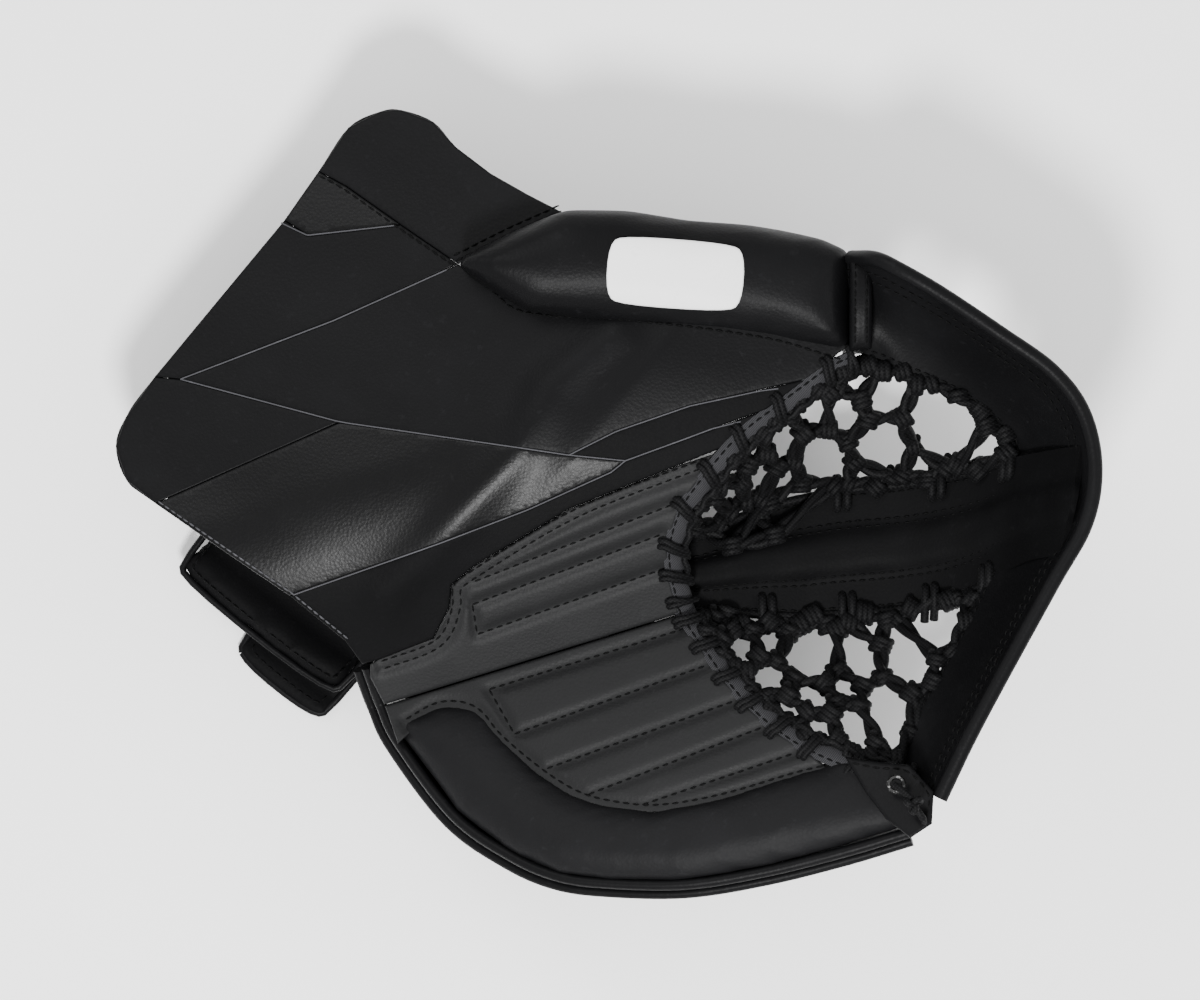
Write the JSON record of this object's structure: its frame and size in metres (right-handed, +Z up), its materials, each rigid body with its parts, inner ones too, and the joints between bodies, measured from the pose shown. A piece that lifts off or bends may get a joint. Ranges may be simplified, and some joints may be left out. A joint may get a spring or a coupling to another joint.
{
  "type": "goalie catch glove",
  "caption": "Ice hockey goalie catch glove lying palm up: stiff cuff, quilted two-part palm, laced T pocket, folding at its break.",
  "frame": {"origin": "middle of the glove's plan box, on the floor it lies on", "axes": "+Z up out of the palm, +X along the thumb towards the pocket's far rim, +Y from the fingers to the thumb"},
  "size_m": [0.4194, 0.3396, 0.1553],
  "materials": {
    "smooth_leather": "satin",
    "glossy_leather": "gloss",
    "palm_leather": "satin",
    "nylon_lace": "matte",
    "woven_tape": "matte",
    "foam_core": "matte",
    "lining_textile": "matte",
    "white_synthetic": "satin",
    "black_metal": "satin"
  },
  "bodies": {
    "thumb_side": {"cuff_corner_panel": "smooth_leather", "cuff_notch_panel": "glossy_leather", "cuff_wedge_panel": "smooth_leather", "cuff_diamond_panel": "smooth_leather", "cuff_end_panel": "smooth_leather", "cuff_dark_panel": "glossy_leather", "accent_panel": "glossy_leather", "heel_ridge_panel": "glossy_leather", "cuff_board": "foam_core", "cuff_lining": "lining_textile", "heel_lining": "lining_textile", "cuff_boxing": "smooth_leather", "thumb_pad": "smooth_leather", "thumb_patch": "white_synthetic", "thumb_back_pad": "smooth_leather", "thumb_gusset": "smooth_leather", "thumb_stall": "lining_textile", "thumb_end_binding": "smooth_leather", "palm_upper": "palm_leather", "palm_edge_tape_upper": "woven_tape", "palm_whip_lace_upper": "nylon_lace", "upper_net": "nylon_lace", "band_upper": "smooth_leather", "band_rim_upper": "smooth_leather", "wrist_gusset": "smooth_leather"},
    "pocket_spine": {"t_stem": "smooth_leather", "t_stem_pad": "smooth_leather", "stem_edge_lace_upper": "nylon_lace", "stem_edge_lace_lower": "nylon_lace", "band_middle": "smooth_leather", "band_rim_middle": "smooth_leather"},
    "finger_side": {"palm_lower": "palm_leather", "palm_liner": "lining_textile", "palm_edge_tape_lower": "woven_tape", "palm_whip_lace_lower": "nylon_lace", "lower_net": "nylon_lace", "band_lower": "smooth_leather", "band_rim_lower": "smooth_leather", "finger_pad": "smooth_leather", "finger_pad_piping": "smooth_leather", "finger_gusset": "smooth_leather", "back_of_hand_board": "smooth_leather", "back_board_bead": "smooth_leather", "little_finger_stall": "lining_textile", "ring_finger_stall": "lining_textile", "middle_finger_stall": "lining_textile", "index_finger_stall": "lining_textile", "fingertip_tab": "smooth_leather", "tab_eyelet": "black_metal", "tab_lace_knot": "nylon_lace"},
    "wrist_flap": {"wrist_flap": "smooth_leather", "loop_patch": "lining_textile"},
    "wrist_strap": {"wrist_strap": "smooth_leather", "hook_patch": "lining_textile"}
  },
  "joints": [
    {"name": "break_fold", "type": "hinge", "parent": "thumb_side", "child": "finger_side", "pos_m": [-0.0893, -0.08614, 0.062], "axis": [-0.9454, -0.295, -0.1386], "range_deg": [0, 50]},
    {"name": "spine_fold", "type": "hinge", "parent": "thumb_side", "child": "pocket_spine", "pos_m": [-0.0893, -0.08614, 0.062], "axis": [-0.9454, -0.295, -0.1386], "range_deg": [0, 25]},
    {"name": "wrist_flap_hinge", "type": "hinge", "parent": "thumb_side", "child": "wrist_flap", "pos_m": [-0.08371, 0.02427, 0.015], "axis": [0.7839, -0.6209, 0], "range_deg": [0, 55]},
    {"name": "wrist_strap_hinge", "type": "hinge", "parent": "wrist_flap", "child": "wrist_strap", "pos_m": [-0.07548, 0.00244, 0.0025], "axis": [0.7839, -0.6209, 0], "range_deg": [0, 60]}
  ],
  "couplings": [
    {"joint": "spine_fold", "follows": "break_fold", "ratio": 0.5}
  ]
}
